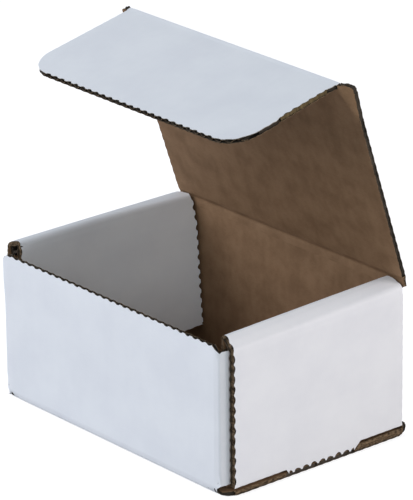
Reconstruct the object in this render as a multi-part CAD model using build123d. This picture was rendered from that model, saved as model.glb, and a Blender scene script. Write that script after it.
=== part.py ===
from build123d import *
import os
from math import cos, floor, radians, tan

# A one-piece roll-end mailer box of single-wall corrugated board, standing with its lid open.
# The sheet is white outside and kraft inside, and its flutes run from front to back in the flat blank.
# Origin at the middle of the footprint on the ground: X to the right, Y to the back, Z up. Millimetres.

# Board
board = 3.2
liner = 0.35
flute_pitch = 6.35
flute_wall = 0.64  # the fluted medium, measured along the board
layer_gap = 0.3  # clearance between layers that lie against each other
overrun = 5.0  # how far a cutting shape passes the face that it cuts

# Box
length = 210.1
depth = 143.3
front_height = 93.6
fold_radius = 3.4  # outside of the creases along the bottom
front_fold_side_inset = 7.5  # where the front bottom crease stops short of the side faces
rear_fold_side_inset = 1.5
fold_rise = 6.7  # lower edge of the dust flaps above the ground
rear_fold_rise = 7.1  # top of the longer ends of the rear bottom crease
base_edge_inset = 0.3
base_corner_inset = 3.5  # relief between the base's corners and the walls
base_corner_radius = 3.0

# Front and back walls with their dust flaps
corner_radius = 2.8
dust_flap_length = 52.0
dust_flap_taper = 7.0
notch_inset = 8.3  # where a wall's top edge ends, in from the side face
notch_foot_inset = 6.6
notch_depth = 2.3
dust_flap_drop = 3.3  # top edge of the dust flaps below the wall's top

# Rolled side walls
side_front_setback = 8.65
side_rear_setback = 4.2
side_slot_front = 44.8  # end of the front lock slot, back from the front face
side_slot_front_ramp = 2.0
side_slot_rear = 105.6  # start of the rear lock slot
side_slot_rear_ramp = 5.0
side_edge_front = 5.2  # height of the panel's lower edge over the front slot
side_edge_fold = 2.7
side_edge_rear = 6.8
perforation_radius = 1.5
perforation_depth = 0.7
crush_margin = 3.0  # flat, crushed board beside a crease
lock_tab_width = 26.0
lock_tab_drop = 3.0
lock_tab_front = 27.0  # middle of the front lock tab, back from the front face
lock_tab_rear = 122.0
lean_start = 63.7  # the left inner panel leans inward behind this, back from the front face
lean_angle = 8.7

# Lid
lid_crease_height = 96.4  # axis of the crease between back wall and lid
lid_crease_inset = 1.3  # the same, in from the back face
lid_reach = 137.7  # from that axis to the axis of the tuck flap's crease
lid_angle = 71.0  # above closed
lid_half_hinge = 103.5
lid_half_front = 105.0
lid_skew = 2.6  # sideways lean of the lid's front edge to the right
lid_ear_reach = 2.7  # the corner ears, past the tuck flap's axis
lid_ear_radius = 2.2
lid_ear_gap = 0.6

# Tuck flap
flap_reach = 81.0
flap_half_root = 93.4
flap_half_width = 94.2
flap_corner_radius = 19.0
flap_fold = 84.15  # from flat with the lid, at rest
flap_fold_most = 134.0  # when the lid is closed

# Derived places
half_length = length / 2
half_depth = depth / 2
dust_face = half_length - board - layer_gap
inner_panel_back = dust_face - board - layer_gap
inner_panel_face = inner_panel_back - board
side_front = side_front_setback - half_depth
side_rear = half_depth - side_rear_setback
crease_y = half_depth - lid_crease_inset
back_height = lid_crease_height - board / 2 - layer_gap
roll_top = lid_crease_height - board / 2 - layer_gap
roll_radius = board
panel_foot = board + layer_gap
lean_pivot = roll_top - roll_radius - crush_margin
lid_slot_half = flap_half_width + lid_ear_gap


def flute_cells(start, end):
    """Middles of the triangular cells that fit between two places along the board."""
    half_pitch = flute_pitch / 2
    count = floor((end - start) / half_pitch)
    first = (start + end - (count - 1) * half_pitch) / 2
    return [(first + index * half_pitch, index % 2 == 0) for index in range(count)]


def cell_outline(middle, upright):
    """Corners of one cell as (along the board, through the board)."""
    half_width = flute_pitch / 2 - flute_wall
    low, high = (liner, board - liner) if upright else (board - liner, liner)
    return [(middle - half_width, low), (middle + half_width, low), (middle, high)]


def outline_face(points):
    """Flat face inside a closed row of corners."""
    return make_face(Polyline(*points, close=True))


def fluted(face, start, end, place):
    """Cut the cells of one straight run of board out of its section face.

    place turns (along the board, through the board) into a point of the face.
    """
    cells = [
        outline_face([place(along, through) for along, through in cell_outline(middle, upright)])
        for middle, upright in flute_cells(start, end)
    ]
    return face - cells


def base():
    """The bottom panel, with slots for the lock tabs."""
    panel = Box(
        length - 2 * base_edge_inset,
        depth - 2 * base_corner_inset,
        board,
        align=(Align.CENTER, Align.CENTER, Align.MIN),
    )
    panel = fillet(panel.edges().filter_by(Axis.Z), base_corner_radius)
    slot = Box(board + 2 * layer_gap, lock_tab_width + 2 * layer_gap, board + 2 * overrun)
    slots = [
        Pos(side * (inner_panel_face + board / 2), place - half_depth, board / 2) * slot
        for side in (-1, 1)
        for place in (lock_tab_front, lock_tab_rear)
    ]
    return panel - slots


def bottom_fold(side_inset, rise):
    """The rounded crease along the bottom of a wall, and the crushed board above it."""
    reach = -half_depth + 2 * board + base_corner_inset
    section = outline_face(
        [
            (-half_depth, 0),
            (reach, 0),
            (reach, board),
            (board - half_depth, board),
            (board - half_depth, rise),
            (-half_depth, rise),
        ]
    )
    corner = section.vertices().sort_by(lambda v: v.X + v.Y)[0]
    section = fillet(corner, fold_radius)
    half_run = half_length - side_inset
    return extrude(Plane.YZ * section, half_run, both=True)


def wall_section():
    """Plan of the front wall and its two dust flaps, with the flutes cut out."""
    inside = dust_face - board
    wall_back = board - half_depth
    flap_end = dust_flap_length - half_depth
    section = outline_face(
        [
            (-dust_face, -half_depth),
            (dust_face, -half_depth),
            (dust_face, flap_end),
            (inside, flap_end),
            (inside, wall_back),
            (-inside, wall_back),
            (-inside, flap_end),
            (-dust_face, flap_end),
        ]
    )
    corners = section.vertices().group_by(Axis.Y)[0]
    section = fillet(corners, corner_radius)
    section = fluted(
        section,
        crush_margin - inside,
        inside - crush_margin,
        lambda along, through: (along, through - half_depth),
    )
    for side in (-1, 1):
        section = fluted(
            section,
            wall_back + crush_margin,
            flap_end - liner,
            lambda along, through: (side * (dust_face - through), along),
        )
    return section


def wall(height, fold):
    """A front or back wall of the given height over its bottom crease, drawn at the front."""
    panel = Pos(0, 0, fold_rise) * extrude(wall_section(), height - fold_rise)
    flap_top = height - dust_flap_drop
    cutters = []
    for side in (-1, 1):
        notch = outline_face(
            [
                (side * (half_length - notch_inset), height),
                (side * (half_length - notch_foot_inset), height - notch_depth),
                (side * dust_face, flap_top),
                (side * (half_length + overrun), flap_top),
                (side * (half_length + overrun), height + overrun),
                (side * (half_length - notch_inset), height + overrun),
            ]
        )
        cutters.append(extrude(Plane.XZ * notch, depth + overrun, both=True))
        flap_end = dust_flap_length - half_depth
        for edge, way in ((flap_top, -1), (fold_rise, 1)):
            taper = outline_face(
                [
                    (flap_end - dust_flap_taper, edge),
                    (flap_end, edge + way * dust_flap_taper),
                    (flap_end + overrun, edge + way * dust_flap_taper),
                    (flap_end + overrun, edge - way * overrun),
                    (flap_end - dust_flap_taper, edge - way * overrun),
                ]
            )
            spot = Pos(side * (dust_face - board / 2), 0, 0)
            cutters.append(spot * extrude(Plane.YZ * taper, board, both=True))
    return panel - cutters + fold


def side_section(inner_foot):
    """Section of a rolled side wall: outer panel, roll and inner panel, seen along Y."""
    under = roll_top - board
    section = outline_face(
        [
            (half_length, 0),
            (half_length, roll_top),
            (inner_panel_face, roll_top),
            (inner_panel_face, inner_foot),
            (inner_panel_back, inner_foot),
            (inner_panel_back, under),
            (half_length - board, under),
            (half_length - board, 0),
        ]
    )
    tops = section.vertices().group_by(Axis.Y)[-1]
    return fillet(tops, roll_radius)


def fluted_side_section(inner_foot):
    """The same section with the flutes of its upright panels cut out."""
    top = roll_top - roll_radius - crush_margin
    section = fluted(
        side_section(inner_foot),
        side_edge_rear + crush_margin,
        top,
        lambda along, through: (half_length - through, along),
    )
    if inner_foot < lean_pivot:
        section = fluted(
            section,
            inner_foot + crush_margin,
            top,
            lambda along, through: (inner_panel_back - through, along),
        )
    return section


def along_side(section, start, end):
    """A section of the side wall run from one Y to another."""
    return Pos(0, end, 0) * extrude(Plane.XZ * section, end - start)


def lower_edge_cutter():
    """What is cut away under the outer side panel: two lock slots and the fold between them."""
    rear = half_depth + overrun
    profile = outline_face(
        [
            (-rear, -overrun),
            (-rear, side_edge_front),
            (side_slot_front - half_depth, side_edge_front),
            (side_slot_front + side_slot_front_ramp - half_depth, side_edge_fold),
            (side_slot_rear - side_slot_rear_ramp - half_depth, side_edge_fold),
            (side_slot_rear - half_depth, side_edge_rear),
            (rear, side_edge_rear),
            (rear, -overrun),
        ]
    )
    reach = board + layer_gap / 2
    return Pos(half_length - reach, 0, 0) * extrude(Plane.YZ * profile, reach + overrun)


def perforations():
    """Half-moon cuts of the cut crease in the lower edge of the outer side panel."""
    start = side_slot_front + side_slot_front_ramp - half_depth
    end = side_slot_rear - side_slot_rear_ramp - half_depth
    count = floor((end - start) / flute_pitch)
    first = (start + end - (count - 1) * flute_pitch) / 2
    moon = Rot(0, 90, 0) * Cylinder(perforation_radius, 2 * perforation_depth)
    return [
        Pos(half_length, first + index * flute_pitch, side_edge_fold) * moon
        for index in range(count)
    ]


def lock_tab(place):
    """A tab of the right inner panel in its slot in the base."""
    tab = Box(
        board,
        lock_tab_width,
        lock_tab_drop + crush_margin,
        align=(Align.CENTER, Align.CENTER, Align.MIN),
    )
    return Pos(inner_panel_face + board / 2, place - half_depth, panel_foot - lock_tab_drop) * tab


def right_side():
    """The right side wall, its inner panel upright."""
    shell = along_side(fluted_side_section(panel_foot), side_front, side_rear)
    shell = shell - lower_edge_cutter() - perforations()
    return shell + [lock_tab(lock_tab_front), lock_tab(lock_tab_rear)]


def leaning(outline, start, end):
    """A run of board whose section sways inward behind the lean's start.

    outline holds (x, z) corners of the upright section. Each moves towards the inside by its
    depth below the roll, more and more towards the rear end of the wall.
    """
    lean_front = lean_start - half_depth

    def sway(x, y, z):
        share = (y - lean_front) / (side_rear - lean_front)
        return (x - tan(radians(lean_angle)) * (lean_pivot - z) * share, y, z)

    faces = [
        make_face(Polyline(*[sway(x, y, z) for x, z in outline], close=True)) for y in (start, end)
    ]
    return loft(faces, ruled=True)


def left_side():
    """The left side wall, drawn on the right: its inner panel leans inward at the rear."""
    lean_front = lean_start - half_depth
    front = along_side(fluted_side_section(panel_foot), side_front, lean_front)
    rear = along_side(fluted_side_section(lean_pivot), lean_front, side_rear)
    shell = (front + rear) - lower_edge_cutter() - perforations()
    shell = shell + lock_tab(lock_tab_front)
    panel = leaning(
        [
            (inner_panel_face, lean_pivot),
            (inner_panel_face, panel_foot),
            (inner_panel_back, panel_foot),
            (inner_panel_back, lean_pivot),
        ],
        lean_front,
        side_rear,
    )
    cells = []
    for middle, upright in flute_cells(panel_foot + crush_margin, lean_pivot):
        corners = [
            (inner_panel_back - through, along) for along, through in cell_outline(middle, upright)
        ]
        cells.append(leaning(corners, lean_front, side_rear))
    tab_half = lock_tab_width / 2
    tab_foot = panel_foot - lock_tab_drop
    tab = leaning(
        [
            (inner_panel_face, panel_foot + liner),
            (inner_panel_face, tab_foot),
            (inner_panel_back, tab_foot),
            (inner_panel_back, panel_foot + liner),
        ],
        lock_tab_rear - tab_half - half_depth,
        lock_tab_rear + tab_half - half_depth,
    )
    return mirror(shell + (panel - cells) + tab, Plane.YZ)


def tray():
    """Everything that stands still: base, walls with dust flaps, and rolled sides, as one sheet."""
    front = wall(front_height, bottom_fold(front_fold_side_inset, fold_rise))
    back = mirror(wall(back_height, bottom_fold(rear_fold_side_inset, rear_fold_rise)), Plane.XZ)
    return base() + front + back + right_side() + left_side()


def lid():
    """The lid panel, drawn closed about its crease axis and then opened."""
    ear_y = -(lid_reach + lid_ear_reach)
    mouth_y = -(lid_reach - board / 2)
    right = lid_half_front + lid_skew
    left = lid_half_front - lid_skew
    outline = outline_face(
        [
            (-lid_half_hinge, 0),
            (-left, ear_y),
            (-lid_slot_half, ear_y),
            (-lid_slot_half, mouth_y),
            (lid_slot_half, mouth_y),
            (lid_slot_half, ear_y),
            (right, ear_y),
            (lid_half_hinge, 0),
        ]
    )
    ears = outline.vertices().group_by(Axis.Y)[0]
    outline = fillet(ears, lid_ear_radius)
    panel = Pos(0, 0, -board / 2) * extrude(outline, board)
    crease = Rot(0, 90, 0) * Cylinder(board / 2, 2 * lid_half_hinge)
    return opened(panel + crease - mitre())


def mitre():
    """What is crushed away at the lid's front edge so that the flap can fold under it."""
    turn = radians(flap_fold_most - 90)
    level = board / 2 + overrun

    def edge_y(height):
        return (board / 2 + layer_gap) / cos(turn) - height * tan(turn) - lid_reach

    wedge = outline_face(
        [
            (edge_y(level), level),
            (edge_y(-level), -level),
            (-lid_reach - overrun, -level),
            (-lid_reach - overrun, level),
        ]
    )
    return extrude(Plane.YZ * wedge, lid_slot_half, both=True)


def opened(shape):
    """Turn what was drawn closed about the lid's crease to the lid's resting angle."""
    return Pos(0, crease_y, lid_crease_height) * Rot(-lid_angle, 0, 0) * shape


def tuck_flap():
    """The tuck flap, drawn flat with the lid about its own axis and then folded."""
    outline = outline_face(
        [
            (-flap_half_root, 0),
            (-flap_half_width, -flap_reach / 2),
            (-flap_half_width, -flap_reach),
            (flap_half_width, -flap_reach),
            (flap_half_width, -flap_reach / 2),
            (flap_half_root, 0),
        ]
    )
    corners = outline.vertices().group_by(Axis.Y)[0]
    outline = fillet(corners, flap_corner_radius)
    panel = Pos(0, 0, -board / 2) * extrude(outline, board)
    crease = Rot(0, 90, 0) * Cylinder(board / 2, 2 * flap_half_root)
    cells = [
        outline_face([(along, through - board / 2) for along, through in cell_outline(middle, upright)])
        for middle, upright in flute_cells(liner - flap_half_width, flap_half_width - liner)
    ]
    channels = [
        Pos(0, -board, 0) * extrude(Plane.XZ * cell, flap_reach + overrun) for cell in cells
    ]
    folded = Pos(0, -lid_reach, 0) * Rot(flap_fold, 0, 0) * (panel - channels + crease)
    return opened(folded)


def write(name, shape):
    """Write one piece of the sheet to its own file."""
    export_step(shape, f"parts/{name}.step")


os.makedirs("parts", exist_ok=True)
write("tray", tray())
write("lid", lid())
write("tuck_flap", tuck_flap())
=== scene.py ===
import logging
import math
from dataclasses import dataclass
from enum import Enum
from typing import Callable, ClassVar, NamedTuple, Sequence

import bpy
import numpy as np
from mathutils import Matrix, Vector, noise
from mathutils.geometry import delaunay_2d_cdt


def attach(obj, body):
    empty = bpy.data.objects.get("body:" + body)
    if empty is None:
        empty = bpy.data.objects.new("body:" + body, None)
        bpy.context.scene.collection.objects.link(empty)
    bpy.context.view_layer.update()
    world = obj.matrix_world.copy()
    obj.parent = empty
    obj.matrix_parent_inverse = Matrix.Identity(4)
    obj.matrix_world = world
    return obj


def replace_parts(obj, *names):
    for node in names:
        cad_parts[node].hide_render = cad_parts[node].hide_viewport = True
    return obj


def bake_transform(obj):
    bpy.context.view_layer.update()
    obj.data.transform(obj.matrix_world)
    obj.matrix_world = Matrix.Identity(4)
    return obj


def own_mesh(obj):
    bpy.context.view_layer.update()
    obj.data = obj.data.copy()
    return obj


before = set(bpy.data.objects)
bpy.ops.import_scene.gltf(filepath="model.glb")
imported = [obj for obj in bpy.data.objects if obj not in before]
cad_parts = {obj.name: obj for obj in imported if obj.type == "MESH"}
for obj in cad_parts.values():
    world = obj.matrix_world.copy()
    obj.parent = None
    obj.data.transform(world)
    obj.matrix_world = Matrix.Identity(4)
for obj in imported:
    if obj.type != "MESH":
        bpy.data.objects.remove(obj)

log = logging.getLogger("mailer_box")

MM = 0.001
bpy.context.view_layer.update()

Point2 = tuple[float, float]
Placement = Callable[[float, float, float], Vector]
Crush = Callable[[float, float], float]
Materials = Sequence[bpy.types.Material]
Triangle = tuple[int, ...]


def smoothstep(low: float, high: float, value: float) -> float:
    """Ease from 0 at low to 1 at high and give the share at a value."""
    share = min(1.0, max(0.0, (value - low) / (high - low)))
    return share * share * (3 - 2 * share)


def mirrored(points: Sequence[Point2]) -> list[Point2]:
    """Mirror a row of points in the blank's middle line and keep its turning sense."""
    return [(-a, b) for a, b in reversed(points)]


def quarter(centre: Point2, radius: float, step: int) -> list[Point2]:
    """Lay points round a quarter circle, from its side to its top.

    Args:
        centre: Its centre in the blank.
        radius: Its radius.
        step: Degrees from one point to the next.

    Returns:
        The points in order.
    """
    turns = [math.radians(turn) for turn in range(0, 91, step)]
    a, b = centre
    return [(a + radius * math.cos(turn), b + radius * math.sin(turn)) for turn in turns]


def slope(angle: float) -> tuple[Vector, Vector]:
    """Directions of a panel that is hinged along X.

    Args:
        angle: Its slope in degrees, 0 pointing to the front and 90 straight up.

    Returns:
        Unit vectors from its crease to its free edge and out of its white face.
    """
    turn = math.radians(angle)
    rise, run = math.sin(turn), math.cos(turn)
    return Vector((0, -run, rise)), Vector((0, rise, run))


class Liner(Enum):
    """The two face papers of the board."""

    OUTER = 1
    INNER = -1


class Slot(Enum):
    """Material slots of every board mesh, in order."""

    WHITE = 0
    KRAFT = 1
    # Fluting medium's brown, painted darker to stand for the shade inside the flutes.
    MEDIUM_PAINTED_SHADE = 2
    CUT = 3
    PALE_CUT = 4
    TORN = 5


@dataclass(frozen=True)
class Cut:
    """How the die left a run of the outline, in millimetres.

    The outer and inner liner are bitten back by teeth one flute apart, from a setback of the
    outer liner and an overhang of the inner one. A closing slot shuts the edge with the flank of
    a flute that lies back by the recess.
    """

    by_flutes: bool = False
    outer: float = 0.0
    inner: float = 0.0
    setback: float = 0.0
    overhang: float = 0.0
    spread: float = 0.35
    power: float = 0.5
    step: float = 0.7
    recess: float = 0.9
    closing: Slot | None = None
    rim: Slot = Slot.PALE_CUT


class EdgeKind(Enum):
    """Kinds of edge. Their teeth follow the flutes where the cut crosses them."""

    FLUTE_ENDS = Cut(by_flutes=True, outer=0.85, inner=0.4, overhang=-0.5, spread=0.5, step=0.42)
    FLAP_FRONT = Cut(by_flutes=True, outer=0.95, inner=0.3, spread=0.3, step=0.42)
    PANEL_REAR = Cut(by_flutes=True, outer=1.1, inner=0.3, spread=0.3, step=0.42)
    PANEL_FRONT = Cut(
        by_flutes=True,
        outer=1.0,
        inner=0.6,
        setback=0.4,
        overhang=0.7,
        spread=0.8,
        recess=0.6,
        closing=Slot.CUT,
        rim=Slot.CUT,
    )
    CLEAN_ENDS = Cut(by_flutes=True, outer=0.2, inner=0.5)
    FLUTE_SIDE = Cut(outer=0.3, inner=0.35, closing=Slot.MEDIUM_PAINTED_SHADE)
    # Slit under a dust flap: deep flank, and the white liner's rim in the dark medium colour,
    # painted shade under the overhanging flap.
    DEEP_SIDE = Cut(outer=0.3, inner=0.35, recess=3.0, closing=Slot.MEDIUM_PAINTED_SHADE, rim=Slot.MEDIUM_PAINTED_SHADE)
    TORN_SIDE = Cut(
        outer=0.8, inner=0.3, overhang=0.3, recess=0.35, closing=Slot.TORN, rim=Slot.TORN
    )
    SLOT_SIDE = Cut(outer=0.1, inner=0.2, step=1.2)
    HALF_MOONS = Cut(outer=1.9, spread=0.8, power=0.35, step=0.42, rim=Slot.CUT)
    ROUND = Cut(by_flutes=True, outer=0.6, inner=0.3, step=0.6)
    SMOOTH_ROUND = Cut(by_flutes=True, outer=0.15, inner=0.3, step=0.6)
    CREASE_END = Cut(step=1.0, closing=Slot.MEDIUM_PAINTED_SHADE)
    PALE_CREASE_END = Cut(step=1.0, recess=0.4, closing=Slot.CUT)
    EAR = Cut(outer=0.4, inner=0.4, step=0.5, closing=Slot.MEDIUM_PAINTED_SHADE)
    CREASE = Cut(step=4.0)


@dataclass(frozen=True)
class Board:
    """Single-wall corrugated board of B flute, in millimetres."""

    thickness: float = 3.2
    liner: float = 0.32
    medium: float = 0.36
    pitch: float = 6.35
    columns_per_pitch: int = 10
    edge_crush: float = 0.12
    edge_margin: float = 2.4

    @property
    def half(self) -> float:
        """Half the board's thickness."""
        return self.thickness / 2

    @property
    def wave(self) -> float:
        """Height of the fluted paper's wave about the middle of the board."""
        return self.half - self.liner - self.medium / 2 - self.edge_crush

    def wave_height(self, a: float) -> float:
        """Height of the fluted paper at a place across the flutes."""
        return self.wave * math.cos(2 * math.pi * a / self.pitch)


@dataclass(frozen=True)
class Grit:
    """Roughness of cut board and of the dark plugs that paint the shade in the rolls: sizes of its
    bumps and how far they stand out, in mm.
    """

    teeth: float = 5.0
    teeth_share: float = 0.5
    flank_long: float = 4.0
    flank_short: float = 1.3
    flank_across: float = 0.9
    flank_out: float = 0.3
    band_step: float = 0.8
    band_coarse: float = 5.0
    band_out: float = 0.25
    band_coarse_out: float = 0.3
    shade_plug_out: float = 0.5


BOARD = Board()
GRIT = Grit()


@dataclass(frozen=True)
class EdgeRun:
    """One run of a sheet's outline, as corners in the flat blank."""

    kind: EdgeKind
    corners: Sequence[Point2]


@dataclass
class Sheet:
    """A run of board drawn flat in the blank and placed in space.

    Blank coordinates are a, across the flutes, and b, along them, in millimetres.
    """

    runs: Sequence[EdgeRun]
    place: Placement
    a_lines: Sequence[float]
    b_lines: Sequence[float]
    crush: Crush = lambda a, b: 1.0
    holes: Sequence[Sequence[Point2]] = ()
    seed: float = 0.0

    def corners(self) -> list[Point2]:
        """Corners of the plain outline."""
        return [corner for run in self.runs for corner in run.corners[:-1]]

    def loop(self, liner: Liner) -> list[Point2]:
        """The outline of one liner, with the die's scallops along its cut edges.

        Args:
            liner: Which face paper.

        Returns:
            Points in order round the sheet.
        """
        points: list[Point2] = []
        for run in self.runs:
            points += self._cut(run, liner)
        return points

    def rims(self) -> list[Slot]:
        """Slot of the outer liner's cut rim at each point of the loop."""
        return [run.kind.value.rim for run in self.runs for _ in self.walk(run)]

    def walk(self, run: EdgeRun) -> list[tuple[float, float, Point2, float, float]]:
        """Sample one run.

        Args:
            run: The run of outline.

        Returns:
            For each sample its place, the inward direction, and its distance from both ends.
            The last corner is left out: it starts the next run.
        """
        samples = []
        total = sum(math.dist(p, q) for p, q in zip(run.corners, run.corners[1:]))
        travelled = 0.0
        for (a0, b0), (a1, b1) in zip(run.corners, run.corners[1:]):
            length = math.dist((a0, b0), (a1, b1))
            count = max(1, round(length / run.kind.value.step))
            inward = (-(b1 - b0) / length, (a1 - a0) / length)
            for index in range(count):
                share = index / count
                along = travelled + length * share
                place = (a0 + (a1 - a0) * share, b0 + (b1 - b0) * share)
                samples.append((*place, inward, along, total - along))
            travelled += length
        return samples

    def _cut(self, run: EdgeRun, liner: Liner) -> list[Point2]:
        """Sample one run and bite its teeth into the sheet.

        Args:
            run: The run of outline.
            liner: Which face paper.

        Returns:
            Its points without the last, which starts the next run.
        """
        points: list[Point2] = []
        for a, b, inward, along, left in self.walk(run):
            bite = self._bite(run.kind.value, liner, a, along)
            bite *= smoothstep(0, 0.6, min(along, left))
            points.append((a + inward[0] * bite, b + inward[1] * bite))
        return points

    def _bite(self, cut: Cut, liner: Liner, a: float, along: float) -> float:
        """How deep a cut bites into a liner at one place.

        Args:
            cut: How the run was cut.
            liner: Which face paper.
            a: Place across the flutes.
            along: Distance along the run.

        Returns:
            Depth in millimetres, negative where the liner stands past the line.
        """
        outer = liner is Liner.OUTER
        depth = cut.outer if outer else cut.inner
        start = cut.setback if outer else -cut.overhang
        if depth == 0:
            return start
        swing = math.cos(2 * math.pi * (a if cut.by_flutes else along) / BOARD.pitch)
        if cut.by_flutes:
            swing *= -liner.value
        tooth = max(0.0, (swing + cut.spread) / (1 + cut.spread)) ** cut.power
        spot = Vector((a / GRIT.teeth + self.seed, along / GRIT.teeth, 3.0 * liner.value))
        return start + depth * tooth * (1 + GRIT.teeth_share * noise.noise(spot))


class BoardMesh:
    """Collects the papers of one or more sheets into one object."""

    def __init__(self, name: str) -> None:
        """Start an empty mesh.

        Args:
            name: Name of the piece.
        """
        self.name = name
        self.points: list[Vector] = []
        self.blank: list[Point2] = []
        self.faces: list[tuple[int, ...]] = []
        self.slots: list[int] = []

    def add(self, sheet: Sheet) -> None:
        """Add both liners and the fluted paper of a sheet.

        Args:
            sheet: The sheet to add.
        """
        for liner in Liner:
            self._add_liner(sheet, liner)
        self._add_medium(sheet)
        for run in sheet.runs:
            if run.kind.value.closing is not None:
                self._close(sheet, run)

    def _close(self, sheet: Sheet, run: EdgeRun) -> None:
        """Close an edge that was cut along a flute with the flank of that flute.

        Args:
            sheet: The sheet.
            run: The run of its outline.
        """
        reach = BOARD.half - BOARD.liner / 2
        rows = [reach * (index / 2 - 1) for index in range(5)]
        before: list[int] = []
        for a, b, inward, along, _ in sheet.walk(run):
            spot = Vector((along / GRIT.flank_long + sheet.seed, 0.3, 8.0))
            deep = 1 + 0.5 * noise.noise(spot)
            now = []
            for n in rows:
                place = (along / GRIT.flank_short, n / GRIT.flank_across + sheet.seed, 2.0)
                recess = run.kind.value.recess * deep
                recess += GRIT.flank_out * noise.noise(Vector(place))
                now.append(
                    self._point(sheet, a + inward[0] * recess, b + inward[1] * recess, n)
                )
            self._bridge(before, now, run.kind.value.closing, False)
            before = now

    def add_shade_plug(self, ring: Sequence[Vector], inward: Vector) -> None:
        """Close the end of a roll with a dark plug, shaped like crumpled board, that paints the
        shade in its hollow.

        Args:
            ring: Points on the inside of the roll, in millimetres.
            inward: Way into the roll, as long as the hollow is deep.
        """
        middle = sum(ring, Vector()) / len(ring)
        levels = []
        # Each level by its share of the way to the middle and of the hollow's depth.
        for share, depth in ((0.0, 0.0), (0.36, 0.1), (0.5, 0.8), (0.9, 1.0)):
            level = []
            for index, point in enumerate(ring):
                place = Vector((index / 2.0, share * 4, point.y))
                rough = GRIT.shade_plug_out * share * noise.noise(place)
                spot = point.lerp(middle, min(1.0, share + 0.25 * rough)) + inward * depth
                level.append(self._vertex(spot + inward * rough, (point.x, point.z)))
            levels.append(level)
        for low, high in zip(levels, levels[1:]):
            for index in range(len(ring)):
                after = (index + 1) % len(ring)
                corners = (low[index], low[after], high[after], high[index])
                self._face(corners, Slot.MEDIUM_PAINTED_SHADE, False)
        self._face(levels[-1], Slot.MEDIUM_PAINTED_SHADE, False)

    def add_band(self, section: Sequence[Point2], start: float, end: float, side: int) -> None:
        """Add a rough raw edge that runs along Y.

        Args:
            section: Its section as (x, z) on the right-hand side, in millimetres.
            start: Where it starts along Y.
            end: Where it ends.
            side: 1 for the right-hand side and -1 for the left.
        """
        count = round((end - start) / GRIT.band_step)
        before: list[int] = []
        for step in range(count + 1):
            y = start + (end - start) * step / count
            now = []
            for x, z in section:
                fine = noise.noise(Vector((x / 1.5, y / 1.1, z / 0.8 + side)))
                coarse = noise.noise(Vector((1.7, y / GRIT.band_coarse, z / 2 + side)))
                out = x + GRIT.band_out * fine + GRIT.band_coarse_out * coarse
                now.append(self._vertex(Vector((side * out, y, z)), (y + 300 * side, 1.5 * z)))
            self._bridge(before, now, Slot.CUT, side < 0)
            before = now

    def _vertex(self, place: Vector, blank: Point2) -> int:
        """Add one point.

        Args:
            place: Its place in millimetres.
            blank: Its place in the blank, which the papers' patterns follow.

        Returns:
            Its index.
        """
        self.points.append(place * MM)
        self.blank.append(blank)
        return len(self.points) - 1

    def _point(self, sheet: Sheet, a: float, b: float, n: float) -> int:
        """Add one point of a sheet and return its index."""
        return self._vertex(sheet.place(a, b, n * sheet.crush(a, b)), (a + 400 * sheet.seed, b))

    def _bridge(self, before: Sequence[int], now: Sequence[int], slot: Slot, flip: bool) -> None:
        """Join two rows of points with faces, or none if there is no row before."""
        for corners in zip(before, now, now[1:], before[1:]):
            self._face(corners, slot, flip)

    def _face(self, corners: Sequence[int], slot: Slot, flip: bool) -> None:
        """Add one face, turned over if asked."""
        self.faces.append(tuple(reversed(corners)) if flip else tuple(corners))
        self.slots.append(slot.value)

    def _add_liner(self, sheet: Sheet, liner: Liner) -> None:
        """Add one face paper: its two skins and the rim between them.

        Args:
            sheet: The sheet that it belongs to.
            liner: Which of the two.
        """
        loop = sheet.loop(liner)
        flat, triangles = triangulate(loop, sheet)
        side = liner.value
        skins: list[list[int]] = []
        for depth in (0.0, BOARD.liner):
            level = side * (BOARD.half - depth)
            pressed = level - side * BOARD.edge_crush
            levels = [pressed] * len(loop) + [level] * (len(flat) - len(loop))
            skins.append([self._point(sheet, a, b, n) for (a, b), n in zip(flat, levels)])
        turned = self._turned(sheet, flat, triangles) != (liner is Liner.INNER)
        paper = Slot.WHITE if liner is Liner.OUTER else Slot.KRAFT
        rims = sheet.rims()
        face_skin, back_skin = skins
        for triangle in triangles:
            self._face([face_skin[i] for i in triangle], paper, turned)
            # Back skins take the dark medium colour: painted shade between the liners.
            self._face([back_skin[i] for i in triangle], Slot.MEDIUM_PAINTED_SHADE, not turned)
        for i, j in boundary(triangles):
            corners = (face_skin[j], face_skin[i], back_skin[i], back_skin[j])
            rim = rims[i] if i < len(rims) else Slot.PALE_CUT
            self._face(corners, rim if liner is Liner.OUTER else Slot.CUT, turned)

    def _turned(
        self, sheet: Sheet, flat: Sequence[Point2], triangles: Sequence[Triangle]
    ) -> bool:
        """Tell whether the sheet's placement turns its flat triangles over.

        Args:
            sheet: The sheet.
            flat: Its flat points.
            triangles: Its triangles.

        Returns:
            True if they face the board's inside once placed.
        """
        i, j, k = triangles[len(triangles) // 2]
        p, q, r = (sheet.place(*flat[index], 0.0) for index in (i, j, k))
        outward = sheet.place(*flat[i], 1.0) - p
        return (q - p).cross(r - p).dot(outward) < 0

    def _add_medium(self, sheet: Sheet) -> None:
        """Add the fluted paper between the liners, column by column.

        Args:
            sheet: The sheet that it belongs to.
        """
        corners = np.array(sheet.corners())
        step = BOARD.pitch / BOARD.columns_per_pitch
        reach = BOARD.medium / 2
        first = math.ceil((corners[:, 0].min() + step / 4) / step)
        last = math.floor((corners[:, 0].max() - step / 4) / step)
        before: list[list[list[int]]] = []
        for column in range(first, last + 1):
            a = column * step
            levels = (BOARD.wave_height(a) + reach, BOARD.wave_height(a) - reach)
            now: list[list[list[int]]] = []
            for low, high in spans(corners, a):
                rows = [low, *(b for b in sheet.b_lines if low < b < high), high]
                now.append([[self._point(sheet, a, b, n) for n in levels] for b in rows])
            for left, right in zip(before, now):
                if len(before) == len(now) and len(left) == len(right):
                    self._add_strip(left, right)
            before = now

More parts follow.
